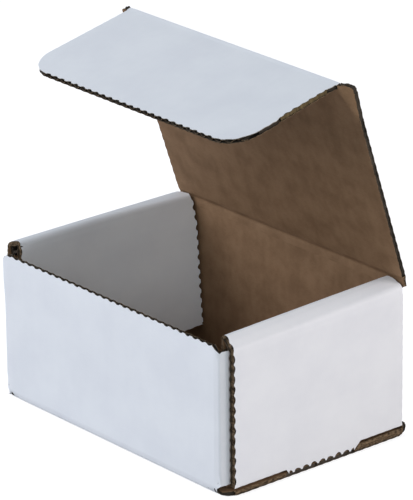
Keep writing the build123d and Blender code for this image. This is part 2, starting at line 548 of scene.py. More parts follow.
    def _add_strip(self, left: Sequence[Sequence[int]], right: Sequence[Sequence[int]]) -> None:
        """Join two neighbouring columns of the fluted paper.

        Args:
            left: Points of one column, each as (upper, lower).
            right: Points of the next column.
        """
        for (p, q), (r, s) in zip(zip(left, left[1:]), zip(right, right[1:])):
            self._face((p[0], r[0], s[0], q[0]), Slot.MEDIUM_PAINTED_SHADE, False)
            self._face((p[1], r[1], s[1], q[1]), Slot.MEDIUM_PAINTED_SHADE, True)
        for p, r, flip in ((left[0], right[0], True), (left[-1], right[-1], False)):
            self._face((p[0], r[0], r[1], p[1]), Slot.CUT, flip)

    def build(self, materials: Materials) -> bpy.types.Object:
        """Make the object.

        Args:
            materials: One material for each slot.

        Returns:
            The new object, linked to the scene.
        """
        mesh = bpy.data.meshes.new(self.name)
        mesh.from_pydata(self.points, [], self.faces)
        for material in materials:
            mesh.materials.append(material)
        mesh.polygons.foreach_set("material_index", self.slots)
        layer = mesh.uv_layers.new(name="blank")
        loops = np.empty(len(mesh.loops), dtype=np.int32)
        mesh.loops.foreach_get("vertex_index", loops)
        layer.data.foreach_set("uv", (np.array(self.blank)[loops] * MM).ravel())
        mesh.polygons.foreach_set("use_smooth", [True] * len(mesh.polygons))
        mesh.set_sharp_from_angle(angle=math.radians(50))
        mesh.update()
        obj = bpy.data.objects.new(self.name, mesh)
        bpy.context.scene.collection.objects.link(obj)
        log.info("%s: %d faces", self.name, len(self.faces))
        return obj


def inside(loop: np.ndarray, points: np.ndarray, margin: float) -> np.ndarray:
    """Tell which points lie inside a loop, clear of its edge.

    Args:
        loop: Corners of the loop, one row each.
        points: Points to test, one row each.
        margin: Least distance to the loop.

    Returns:
        A mask over the points.
    """
    ends = np.roll(loop, -1, axis=0)
    spread = ends - loop
    hits = np.zeros(len(points), dtype=bool)
    near = np.full(len(points), np.inf)
    for start, end, run in zip(loop, ends, spread):
        crosses = (start[1] > points[:, 1]) != (end[1] > points[:, 1])
        if run[1] != 0:
            at = start[0] + (points[:, 1] - start[1]) * run[0] / run[1]
            hits ^= crosses & (points[:, 0] < at)
        share = np.clip(((points - start) @ run) / max(run @ run, 1e-9), 0, 1)
        gap = points - start - share[:, None] * run
        near = np.minimum(near, np.hypot(gap[:, 0], gap[:, 1]))
    return hits & (near > margin)


def triangulate(loop: list[Point2], sheet: Sheet) -> tuple[list[Point2], list[Triangle]]:
    """Fill a liner's outline with triangles.

    Args:
        loop: The outline's points.
        sheet: The sheet, for its inner lines and holes.

    Returns:
        The flat points, the outline's first, and the triangles between them.
    """
    ring = np.array(loop)
    grid = np.array([(a, b) for a in sheet.a_lines for b in sheet.b_lines])
    keep = inside(ring, grid, BOARD.edge_margin)
    holes = [np.array(hole) for hole in sheet.holes]
    for hole in holes:
        keep &= ~inside(hole, grid, -1.0)
    points = [Vector(p) for p in loop]
    edges = [(i, (i + 1) % len(loop)) for i in range(len(loop))]
    for hole in holes:
        start = len(points)
        points += [Vector(p) for p in hole]
        edges += [(start + i, start + (i + 1) % len(hole)) for i in range(len(hole))]
    points += [Vector(p) for p in grid[keep]]
    found = delaunay_2d_cdt(points, edges, [], 1, 1e-4)
    flat = [(p.x, p.y) for p in found[0]]
    triangles = [tuple(face) for face in found[2]]
    for hole in holes:
        middles = np.array([np.mean([flat[i] for i in face], axis=0) for face in triangles])
        out = ~inside(hole, middles, -1.0)
        triangles = [face for face, good in zip(triangles, out) if good]
    return flat, triangles


def boundary(triangles: Sequence[Triangle]) -> list[tuple[int, int]]:
    """Edges that only one triangle uses, in that triangle's direction."""
    edges = {(f[i], f[(i + 1) % 3]) for f in triangles for i in range(3)}
    return [(i, j) for i, j in edges if (j, i) not in edges]


def spans(corners: np.ndarray, a: float) -> list[tuple[float, float]]:
    """Stretches of one column that lie inside an outline.

    Args:
        corners: Corners of the outline.
        a: The column's place across the flutes.

    Returns:
        Each stretch as its two ends along the flutes.
    """
    ends = np.roll(corners, -1, axis=0)
    hits = []
    for (a0, b0), (a1, b1) in zip(corners, ends):
        if (a0 > a) != (a1 > a):
            hits.append(b0 + (b1 - b0) * (a - a0) / (a1 - a0))
    hits.sort()
    inset = 0.3
    pairs = zip(hits[::2], hits[1::2])
    return [(low + inset, high - inset) for low, high in pairs if high - low > 4 * inset]


def lines(*stretches: tuple[float, float, float]) -> list[float]:
    """Places of grid lines, each stretch as (start, end, step) with its own spacing.

    Args:
        stretches: The stretches in order.

    Returns:
        The places, without repeats.
    """
    places: list[float] = []
    for start, end, step in stretches:
        count = max(1, round((end - start) / step))
        places += [start + (end - start) * index / count for index in range(count + 1)]
    kept = [places[0]]
    for place in places[1:]:
        if place - kept[-1] > 0.05:
            kept.append(place)
    return kept


def linear(hex_colour: str) -> tuple[float, float, float, float]:
    """Turn an sRGB hex colour into linear light.

    Args:
        hex_colour: Such as "#8a6f55".

    Returns:
        Linear red, green and blue, and an alpha of 1.
    """
    shares = [int(hex_colour[i : i + 2], 16) / 255 for i in (1, 3, 5)]
    straight = [s / 12.92 if s <= 0.04045 else ((s + 0.055) / 1.055) ** 2.4 for s in shares]
    return (straight[0], straight[1], straight[2], 1.0)


def add_node(
    tree: bpy.types.NodeTree,
    kind: str,
    settings: dict[str, object] | None = None,
    values: dict[str | int, object] | None = None,
    links: dict[str | int, bpy.types.NodeSocket] | None = None,
) -> bpy.types.Node:
    """Add a node with its settings, socket values and links.

    Args:
        tree: The node tree.
        kind: Blender's name of the node type.
        settings: Properties of the node.
        values: Values for its input sockets.
        links: Output sockets to join to its input sockets.

    Returns:
        The node.
    """
    node = tree.nodes.new(kind)
    for name, value in (settings or {}).items():
        setattr(node, name, value)
    for name, value in (values or {}).items():
        node.inputs[name].default_value = value
    for name, socket in (links or {}).items():
        tree.links.new(socket, node.inputs[name])
    return node


@dataclass(frozen=True)
class Paper:
    """A paper surface: mottled fibre colour, faint flute lines as a slight bump and as painted
    shade of the washboard ripples, and a dull, slightly rough face.

    Lengths are millimetres on the sheet. The mottle is the size of its cloudy formation, and the
    fibre that of a clump of fibres: single ones, some 0.03 mm wide, are too fine to show.
    """

    name: str
    pale: str
    dark: str
    roughness: float
    specular: float = 0.3
    mottle: float = 14.0
    fibre: float = 0.9
    fibre_stretch: float = 7.0
    fibre_share: float = 0.35
    washboard_shade_share: float = 0.05
    bump: float = 0.06
    ramp: tuple[float, float] = (0.32, 0.66)

    def build(self) -> bpy.types.Material:
        """Make the material.

        Returns:
            The new material.
        """
        material = bpy.data.materials.new(self.name)
        material.use_nodes = True
        tree = material.node_tree
        shader = tree.nodes["Principled BSDF"]
        shader.inputs["Roughness"].default_value = self.roughness
        shader.inputs["Specular IOR Level"].default_value = self.specular
        blank = add_node(tree, "ShaderNodeUVMap", {"uv_map": "blank"}).outputs["UV"]
        scaled = add_node(
            tree, "ShaderNodeVectorMath", {"operation": "SCALE"}, {"Scale": 1 / MM}, {0: blank}
        ).outputs["Vector"]
        stretched = add_node(
            tree,
            "ShaderNodeVectorMath",
            {"operation": "MULTIPLY"},
            {1: (1 / self.fibre_stretch, 1.0, 1.0)},
            {0: scaled},
        ).outputs["Vector"]
        cloud = add_node(
            tree,
            "ShaderNodeTexNoise",
            {"noise_dimensions": "2D"},
            {"Scale": 1 / self.mottle, "Detail": 3.0, "Roughness": 0.55},
            {"Vector": scaled},
        ).outputs["Fac"]
        fibres = add_node(
            tree,
            "ShaderNodeTexNoise",
            {"noise_dimensions": "2D"},
            {"Scale": 1 / self.fibre, "Detail": 4.0, "Roughness": 0.6},
            {"Vector": stretched},
        ).outputs["Fac"]
        # The flute lines go into the colour as well as the bump: painted shade of the washboard
        # ripples.
        # The wave texture repeats every pi / (10 * scale), here every flute.
        flutes = add_node(
            tree,
            "ShaderNodeTexWave",
            {"wave_type": "BANDS", "bands_direction": "X", "wave_profile": "SIN"},
            {"Scale": math.pi / (10 * BOARD.pitch), "Distortion": 0.0},
            {"Vector": scaled},
        ).outputs["Fac"]
        toned = cloud
        for share, pattern in ((self.fibre_share, fibres), (self.washboard_shade_share, flutes)):
            toned = add_node(
                tree, "ShaderNodeMix", {"data_type": "FLOAT"}, {0: share}, {2: toned, 3: pattern}
            ).outputs[0]
        ramp = add_node(tree, "ShaderNodeValToRGB", links={"Fac": toned})
        stops = zip(ramp.color_ramp.elements, self.ramp, (self.dark, self.pale))
        for stop, position, colour in stops:
            stop.position, stop.color = position, linear(colour)
        tree.links.new(ramp.outputs["Color"], shader.inputs["Base Color"])
        relief = add_node(
            tree,
            "ShaderNodeBump",
            {},
            {"Strength": 0.5, "Distance": self.bump * MM},
            {"Height": toned},
        ).outputs["Normal"]
        tree.links.new(relief, shader.inputs["Normal"])
        return material


@dataclass(frozen=True)
class Papers:
    """The papers of the board and its cut edges."""

    # Bleached top liner: an uncoated, calendered sheet, so a soft cool white with hardly any gloss.
    white: Paper = Paper(
        "bleached_liner", "#eef0f3", "#e9ebef", 0.55, mottle=30.0, fibre_share=0.15, washboard_shade_share=0.02
    )
    # Unbleached kraft liner: long brown fibres, dull, with cloudy formation.
    kraft: Paper = Paper(
        "kraft_liner",
        "#907256",
        "#7d6147",
        0.72,
        specular=0.2,
        fibre_share=0.25,
        fibre_stretch=2.5,
        washboard_shade_share=0.03,
    )
    # Fluting medium: recycled brown paper, seen only between the liners, and painted much darker
    # than the paper is, as painted shade for the deep, narrow flutes.
    medium: Paper = Paper("fluting_medium_painted_shade", "#504941", "#2f2a24", 0.9, specular=0.1)
    # Die-cut edge: torn and pressed fibres, darker where they are bruised.
    cut: Paper = Paper(
        "die_cut_edge",
        "#846f57",
        "#362b20",
        0.9,
        specular=0.1,
        mottle=2.2,
        fibre_share=0.4,
        fibre_stretch=3.0,
        ramp=(0.36, 0.62),
    )
    # Cut rim of the bleached liner: the same fibres with a pale skin, so a soft grey line.
    pale_cut: Paper = Paper("bleached_cut_edge", "#b9b4ac", "#8f877c", 0.85, mottle=3.0)
    # Torn edge: fluting and liner fibres pulled out together, so dark and olive brown.
    torn: Paper = Paper(
        "torn_edge", "#77674a", "#3a3223", 0.95, specular=0.1, mottle=2.2, fibre_share=0.4
    )

    def build(self) -> list[bpy.types.Material]:
        """The materials in the order of Slot."""
        papers = (self.white, self.kraft, self.medium, self.cut, self.pale_cut, self.torn)
        return [paper.build() for paper in papers]


@dataclass(frozen=True)
class Box:
    """Sizes of the box that its pieces share, in millimetres."""

    length: float = 210.1
    depth: float = 143.3
    front_height: float = 93.6
    fold_radius: float = 3.4
    fold_rise: float = 6.7
    corner_radius: float = 2.8
    layer_gap: float = 0.3
    lid_crease_height: float = 96.4
    lid_crease_inset: float = 1.3
    lid_reach: float = 137.7
    lid_angle: float = 71.0
    flap_fold: float = 84.15

    @property
    def half_length(self) -> float:
        """Half the outside length."""
        return self.length / 2

    @property
    def half_depth(self) -> float:
        """Half the outside depth."""
        return self.depth / 2

    @property
    def crease_y(self) -> float:
        """Axis of the lid's crease, from the middle."""
        return self.half_depth - self.lid_crease_inset


BOX = Box()


class Panel:
    """A run of board that takes the place of one plain node."""

    piece: ClassVar[str]
    body: ClassVar[str]
    node: ClassVar[str]

    def sheet(self) -> Sheet:
        """The panel's sheet, which each kind of panel draws for itself."""
        raise NotImplementedError

    def build(self, materials: Materials) -> bpy.types.Object:
        """Make the piece.

        Args:
            materials: One material for each slot.

        Returns:
            The piece, which takes the place of the plain node.
        """
        mesh = BoardMesh(self.piece)
        mesh.add(self.sheet())
        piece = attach(mesh.build(materials), self.body)
        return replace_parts(piece, self.node)


@dataclass
class Walls(Panel):
    """Base, front wall and back wall in one run, with the dust flaps folded round the corners."""

    piece: ClassVar[str] = "tray_walls"
    body: ClassVar[str] = "box"
    node: ClassVar[str] = "tray"
    front_fold_inset: float = 8.0
    rear_fold_inset: float = 1.3
    rear_fold_rise: float = 7.1
    slit: float = 0.5
    flap_face: float = 100.9
    base_edge_inset: float = 0.3
    base_corner_inset: float = 3.5
    base_corner_radius: float = 3.0
    dust_flap_length: float = 52.0
    dust_flap_taper: float = 7.0
    notch_inset: float = 8.3
    notch_foot_inset: float = 6.6
    front_notch_inset: float = 10.6
    front_notch_foot: float = 99.2
    front_notch_depth: float = 4.3
    flare: float = 1.3
    dust_flap_drop: float = 3.3
    back_top: float = 93.0
    lock_tab_width: float = 26.6
    lock_slot: float = 3.8
    lock_tab_middles: tuple[float, float] = (-44.65, 50.35)
    fold_left: float = 0.6

    @property
    def top_half(self) -> float:
        """Half the width of the back wall's top edge."""
        return BOX.half_length - self.notch_inset

    @property
    def front_top_half(self) -> float:
        """Half the width of the front wall's top edge."""
        return BOX.half_length - self.front_notch_inset

    @property
    def base_edge(self) -> float:
        """Side edge of the base, from the middle."""
        return BOX.half_length - self.base_edge_inset

    @property
    def fold_mid(self) -> float:
        """Radius of the bottom creases in the middle of the board."""
        return BOX.fold_radius - BOARD.half

    @property
    def base_half(self) -> float:
        """Flat half of the base, from the middle to where a bottom crease starts."""
        return BOX.half_depth - BOX.fold_radius

    @property
    def arc(self) -> float:
        """Length of a bottom crease round its bend."""
        return math.pi / 2 * self.fold_mid

    @property
    def corner_start(self) -> float:
        """Where the board starts to turn into a dust flap, from the middle."""
        return self.flap_face - BOX.corner_radius

    @property
    def corner_mid(self) -> float:
        """Radius of the upright corners in the middle of the board."""
        return BOX.corner_radius - BOARD.half

    def along(self, height: float) -> float:
        """Place along the flutes of a height on a wall."""
        return self.base_half + self.arc + height - BOX.fold_radius

    def place(self, a: float, b: float, n: float) -> Vector:
        """Fold a point of the blank into the box.

        Args:
            a: Place across the flutes, from the middle.
            b: Place along them, from the middle of the base, positive to the back.
            n: Distance outward from the middle of the board.

        Returns:
            The point in millimetres.
        """
        way, side = math.copysign(1.0, b), math.copysign(1.0, a)
        run = abs(b)
        if run <= self.base_half:
            return Vector((a, b, BOARD.half - n))
        if run <= self.base_half + self.arc:
            turn = (run - self.base_half) / self.fold_mid
            out = self.base_half + (self.fold_mid + n) * math.sin(turn)
            return Vector((a, way * out, BOX.fold_radius - (self.fold_mid + n) * math.cos(turn)))
        height = BOX.fold_radius + run - self.base_half - self.arc
        over = abs(a) - self.corner_start
        face = BOX.half_depth - BOARD.half
        on_ear = b > 0 and height < self.rear_fold_rise + self.slit / 2
        flared = 0.0
        if way < 0 and side < 0:
            flared = self.flare * smoothstep(58, 80, height) * smoothstep(-38, 0, over)
            flared *= 1 - smoothstep(0, 9, over)
        if over <= 0 or on_ear:
            return Vector((a - flared, way * (face + n), height))
        turn = min(math.pi / 2, over / self.corner_mid)
        x = self.corner_start + (self.corner_mid + n) * math.sin(turn)
        y = face - self.corner_mid + (self.corner_mid + n) * math.cos(turn)
        y -= max(0.0, over - math.pi / 2 * self.corner_mid)
        return Vector((side * x - flared, way * y, height))

    def crush(self, a: float, b: float) -> float:
        """How far the folds press the board together at a place.

        Args:
            a: Place across the flutes.
            b: Place along them.

        Returns:
            Share of the board's thickness that is left.
        """
        fold = abs(abs(b) - self.base_half - self.arc / 2)
        corner = abs(abs(a) - self.corner_start - self.corner_mid * math.pi / 4)
        left = smoothstep(0.5, 4.0, fold)
        if abs(b) > self.base_half + self.arc:
            left = min(left, smoothstep(0.5, 3.5, corner))
        return left * (1 - self.fold_left) + self.fold_left

    def front_corner(self) -> tuple[list[Point2], list[Point2], list[Point2]]:
        """The base's front corner, which the fold has pressed round.

        Returns:
            The base's rounding, the fold's cut end, and the slit below the dust flap.
        """
        edge, depth = self.base_edge, BOX.half_depth
        crease = self.base_half + self.arc / 2
        fold_end = BOX.half_length - self.front_fold_inset
        rounding = [
            (edge, depth - 15.0),
            (edge - 0.5, depth - 10.0),
            (edge - 1.8, depth - 7.2),
            (edge - 3.2, depth - 5.0),
            (edge - 5.0, crease - 0.4),
        ]
        fold = [
            rounding[-1],
            (fold_end, crease + 0.9),
            (fold_end + 0.3, crease + 2.2),
            (fold_end + 1.3, crease + 3.6),
        ]
        return rounding, fold, [fold[-1], (fold_end + 2.9, self.along(BOX.fold_rise))]

    def rear_corner(self) -> tuple[list[Point2], list[Point2], list[Point2]]:
        """The base's rear corner, with the ear that stands up from it beside the back wall.

        Returns:
            The base's rounding, the ear's edge, and the slit between ear and dust flap.
        """
        radius = self.base_corner_radius
        end = BOX.half_depth - self.base_corner_inset
        fold_end = BOX.half_length - self.rear_fold_inset
        ear = self.along(self.rear_fold_rise)
        inner = self.corner_start - 0.5
        fold = [(fold_end, end), (fold_end, ear - 1.5), (fold_end - 1.0, ear), (inner, ear)]
        rounding = quarter((self.base_edge - radius, end - radius), radius, 15)
        return rounding, fold, [fold[-1], (inner, ear + self.slit)]

    def corner_run(self, way: int) -> list[EdgeRun]:
        """Outline of the right-hand side of one wall, from the base out to the wall's top.

        Args:
            way: -1 for the front wall and 1 for the back wall.

        Returns:
            The runs, going outward along b.
        """
        crest = self.along(BOX.front_height)
        flap_top = crest - self.dust_flap_drop
        arc_end = self.corner_start + math.pi / 2 * self.corner_mid
        corner_y = BOX.half_depth - BOX.corner_radius
        flap_end = arc_end + corner_y - (BOX.half_depth - self.dust_flap_length)
        flap_side = flap_end - self.dust_flap_taper
        if way < 0:
            rounding, fold, slit = self.front_corner()
            foot = (self.front_notch_foot, crest - self.front_notch_depth)
            top = (self.front_top_half, crest)
        else:
            rounding, fold, slit = self.rear_corner()
            foot = (BOX.half_length - self.notch_foot_inset, flap_top)
            top = (self.top_half, self.along(self.back_top))
        rise = slit[-1][1]
        free_end = [
            (flap_side, rise),
            (flap_end, rise + self.dust_flap_taper),
            (flap_end, flap_top - self.dust_flap_taper),
            (flap_side, flap_top),
        ]
        steps = [
            (EdgeKind.FLUTE_SIDE, [(self.base_edge, 0.0), rounding[0]]),
            (EdgeKind.FLUTE_SIDE, rounding),
            (EdgeKind.CREASE, [rounding[-1], fold[0]]),
            (EdgeKind.FLUTE_SIDE, fold),
            (EdgeKind.DEEP_SIDE, slit),
            (EdgeKind.CLEAN_ENDS, [slit[-1], free_end[0]]),
            (EdgeKind.FLUTE_SIDE, free_end),
            (EdgeKind.CLEAN_ENDS, [free_end[-1], (arc_end, flap_top)]),
            (EdgeKind.CREASE, [(arc_end, flap_top), foot, top]),
        ]
        return [
            EdgeRun(kind, [(a, way * b) for a, b in corners])
            for kind, corners in steps
            if corners[0] != corners[-1]
        ]

    def outline(self) -> list[EdgeRun]:
        """The whole outline.

        Returns:
            Its runs, anticlockwise in the blank.
        """
        back, front = self.corner_run(1), self.corner_run(-1)
        front_top, back_top = -self.along(BOX.front_height), self.along(self.back_top)
        half, front_half = self.top_half, self.front_top_half
        return [
            *back,
            EdgeRun(EdgeKind.CREASE, [(half, back_top), (-half, back_top)]),
            *(EdgeRun(run.kind, mirrored(run.corners)) for run in reversed(back)),
            *(EdgeRun(run.kind, [(-a, b) for a, b in run.corners]) for run in front),
            EdgeRun(EdgeKind.FLUTE_ENDS, [(-front_half, front_top), (front_half, front_top)]),
            *(EdgeRun(run.kind, run.corners[::-1]) for run in reversed(front)),
        ]

    def slots(self) -> list[list[Point2]]:
        """The base's slots for the lock tabs.

        Returns:
            The corners of each.
        """
        middle = BOX.half_length - 2.5 * BOARD.thickness - 2 * BOX.layer_gap
        half, reach = self.lock_slot / 2, self.lock_tab_width / 2
        return [
            [
                (side * middle + across * half, place + along * reach)
                for across, along in ((-1, -1), (1, -1), (1, 1), (-1, 1))
            ]
            for side in (-1, 1)
            for place in self.lock_tab_middles
        ]

    def sheet(self) -> Sheet:
        """The sheet of base, walls and dust flaps.

        Returns:
            The sheet, with its grid lines closer at the folds.
        """
        bend = (self.base_half - 3, self.base_half + self.arc + 3, 0.6)
        wall_front = (self.base_half + self.arc + 3, self.along(BOX.front_height), 9.0)
        corner = (self.corner_start - 3, self.corner_start + self.corner_mid * 1.6 + 3, 0.45)
        outer = (corner[1], corner[1] + self.dust_flap_length, 9.0)
        b_half = lines((0, self.base_half - 3, 9.0), bend, wall_front)
        a_half = lines((0, corner[0], 8.0), corner, outer)
        return Sheet(
            runs=self.outline(),
            place=self.place,
            a_lines=sorted({-a for a in a_half} | set(a_half)),
            b_lines=sorted({-b for b in b_half} | set(b_half)),
            crush=self.crush,
            holes=self.slots(),
            seed=0.1,
        )


class Stretch(NamedTuple):
    """A stretch of a path: where it starts, how long it is, and its bend in radians per mm."""

    run: float
    length: float
    p: float
    q: float
    heading: float
    curl: float


class RoundedPath:
    """A path of straight stretches with rounded corners, followed by its length."""

    def __init__(self, corners: Sequence[Point2], radii: Sequence[float]) -> None:
        """Lay out the stretches and bends.

        Args:
            corners: Corners of the path before rounding.
            radii: A radius for each corner between the ends.
        """
        self.pieces: list[Stretch] = []
        run = 0.0
        (p, q), (p1, q1) = corners[0], corners[1]
        heading = math.atan2(q1 - q, p1 - p)
        for corner, after, radius in zip(corners[1:], corners[2:], radii):
            onward = math.atan2(after[1] - corner[1], after[0] - corner[0])
            turn = (onward - heading + math.pi) % (2 * math.pi) - math.pi
            tangent = radius * math.tan(abs(turn) / 2)
            straight = math.dist((p, q), corner) - tangent
            self.pieces.append(Stretch(run, straight, p, q, heading, 0.0))
            run += straight
            p = corner[0] - tangent * math.cos(heading)
            q = corner[1] - tangent * math.sin(heading)
            arc = max(1e-6, radius * abs(turn))
            self.pieces.append(Stretch(run, arc, p, q, heading, turn / arc))
            run += arc
            p = corner[0] + tangent * math.cos(onward)
            q = corner[1] + tangent * math.sin(onward)
            heading = onward
        last = math.dist((p, q), corners[-1])
        self.pieces.append(Stretch(run, last, p, q, heading, 0.0))
        self.length = run + last

    def at(self, run: float) -> tuple[float, float, float]:
        """Read the path.

        Args:
            run: Distance from the start. Past either end the path goes straight on.

        Returns:
            The two coordinates and the heading in radians.
        """
        start, _, p, q, heading, curl = self.pieces[0]
        for piece in self.pieces[1:]:
            if piece.run > run:
                break
            start, _, p, q, heading, curl = piece
        part = run - start
        if curl == 0.0:
            return p + part * math.cos(heading), q + part * math.sin(heading), heading
        bent = heading + curl * part
        p += (math.sin(bent) - math.sin(heading)) / curl
        q -= (math.cos(bent) - math.cos(heading)) / curl
        return p, q, bent


@dataclass
class RolledSide:
    """A side wall: outer panel, roll over the dust flaps, and inner panel down to the base.

    Its section is a path of corners as (x, z) in the middle of the board. Each corner has a place
    at the front end and one at the rear end, and sways from the first to the second.
    """

    name: str
    side: int
    front_corners: Sequence[Point2]
    rear_corners: Sequence[Point2]
    radii: Sequence[float]
    crushed: Sequence[float]
    sway_start: float
    keep: float
    foot_rear: float = 3.8
    foot_front: float = 3.8
    front_setback: float = 7.4
    rear_setback: float = 4.2
    slot_front: float = 47.4
    slot_front_ramp: float = 2.0
    slot_rear: float = 105.6
    slot_rear_ramp: float = 5.0
    edge_front: float = 5.2
    edge_fold: float = 2.2
    edge_rear: float = 6.8
    roll_zone: tuple[float, float] = (86.0, 114.0)
    band_face: float = 104.6
    band_foot: float = 0.6
    band_drop: float = 2.2

    def __post_init__(self) -> None:
        """Start the store of sections."""
        self.paths: dict[float, RoundedPath] = {}

    @property
    def front(self) -> float:
        """Front end along Y."""
        return self.front_setback - BOX.half_depth

    @property
    def rear(self) -> float:
        """Rear end along Y."""
        return BOX.half_depth - self.rear_setback

    def path(self, y: float) -> RoundedPath:
        """The wall's section at a place.

        Args:
            y: The place along Y.

        Returns:
            The section in the middle of the board.
        """
        key = round(y, 2)
        if key not in self.paths:
            share = max(0.0, (y - self.sway_start) / (self.rear - self.sway_start)) ** 1.2
            corners = [
                (p0 + (p1 - p0) * share, q0 + (q1 - q0) * share)
                for (p0, q0), (p1, q1) in zip(self.front_corners, self.rear_corners)
            ]
            self.paths[key] = RoundedPath(corners, self.radii)
        return self.paths[key]

    def place(self, a: float, b: float, n: float) -> Vector:
        """Roll a point into the wall: a along the section, b along Y and n outward."""
        p, q, heading = self.path(b).at(a)
        return Vector((self.side * (p + n * math.sin(heading)), b, q - n * math.cos(heading)))

    def crush(self, a: float, b: float) -> float:
        """How far the bends press the board together at a place.

        Args:
            a: Place along the section.
            b: Place along Y.

        Returns:
            Share of the board's thickness that is left.
        """
        left = 1.0
        for (start, length, *_), crushed in zip(self.path(b).pieces[1::2], self.crushed):
            beyond = max(0.0, abs(a - start - length / 2) - length / 2)
            left = min(left, crushed + (1 - crushed) * smoothstep(0.0, 3.0, beyond))
        return left

    def inner_end(self, y: float) -> float:
        """Where the inner panel ends at its foot.

        Args:
            y: The place along Y.

        Returns:
            Its place along the section.
        """
        last = self.path(y).pieces[-1]
        share = (y - self.front) / (self.rear - self.front)
        foot = self.foot_front + (self.foot_rear - self.foot_front) * share**2
        return last.run + last.length - foot / max(0.5, -math.sin(last.heading))

    def sheet(self) -> Sheet:
        """The sheet of the whole side wall.

        Returns:
            The sheet, with its grid lines closer at the roll.
        """
        hd, front, rear = BOX.half_depth, self.front, self.rear
        front_step = (self.edge_front, self.slot_front - hd)
        fold_start = (self.edge_fold, self.slot_front + self.slot_front_ramp - hd)
        fold_end = (self.edge_fold, self.slot_rear - self.slot_rear_ramp - hd)
        rear_step = (self.edge_rear, self.slot_rear - hd)
        front_foot, rear_foot = (self.edge_front, front), (self.edge_rear, rear)
        end_front, end_rear = (self.inner_end(front), front), (self.inner_end(rear), rear)
        ridge = (self.length_to_ridge, rear)
        inner = [(self.inner_end(y), y) for y in np.linspace(front, rear, 16)]
        runs = [
            EdgeRun(EdgeKind.PANEL_FRONT, [front_foot, end_front]),
            EdgeRun(EdgeKind.FLUTE_SIDE, inner),
            EdgeRun(EdgeKind.PANEL_REAR, [end_rear, ridge]),
            EdgeRun(EdgeKind.CLEAN_ENDS, [ridge, rear_foot]),
            EdgeRun(EdgeKind.SLOT_SIDE, [rear_foot, rear_step, fold_end]),
            EdgeRun(EdgeKind.HALF_MOONS, [fold_end, fold_start]),
            EdgeRun(EdgeKind.SLOT_SIDE, [fold_start, front_step, front_foot]),
        ]
        start, end = self.roll_zone
        return Sheet(
            runs=runs,
            place=self.place,
            a_lines=lines((0.0, start, 8.0), (start, end, 0.6), (end, end_front[0], 6.0)),
            b_lines=lines((front, rear, 6.0)),
            crush=self.crush,
            seed=0.3 + 0.2 * self.side,
        )

    def hollow(self, y: float) -> list[Vector]:
        """Lay points round the inside of the roll.

        Args:
            y: The place along Y.

        Returns:
            The points in millimetres.
        """
        _, first, _, last, *_ = self.path(y).pieces
        overlap, inside_face = 3.5, 0.2 - BOARD.half
        places = np.linspace(first.run - overlap, last.run + last.length + overlap, 26)
        return [self.place(a, y, inside_face * self.crush(a, y)) for a in places]

    @property
    def length_to_ridge(self) -> float:
        """Place across the flutes of the roll's ridge at the rear end."""
        return self.path(self.rear).pieces[3].run

    def build(self, materials: Materials) -> bpy.types.Object:
        """Make the wall with the raw edges in its lock slots.

        Args:
            materials: One material for each slot.

        Returns:
            The piece.
        """
        mesh = BoardMesh(self.name)
        mesh.add(self.sheet())
        hd = BOX.half_depth
        face = self.band_face
        slots = (
            (self.front + 0.8, self.slot_front - hd, self.edge_front),
            (self.slot_rear - self.slot_rear_ramp - hd, self.rear + 0.6, self.edge_rear),
        )
        for start, end, edge in slots:
            top = edge - self.band_drop
            section = [
                (face - 1.6, 0.2),
                (face - 0.5, self.band_foot),
                (face, 1.5),
                (face, 2.7),
                (face - 0.15, top - 0.5),
                (face - 0.9, top + 0.1),
                (face - 2.2, top - 1.2),
            ]
            mesh.add_band(section, start, end, self.side)
        # A dark plug in each end of the roll paints the shade in its hollow.
        for end, inward in ((self.front, 1), (self.rear, -1)):
            mesh.add_shade_plug(self.hollow(end + 1.2 * inward), Vector((0, 5.0 * inward, 0)))
        piece = mesh.build(materials)
        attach(piece, "box")
        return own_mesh(piece)


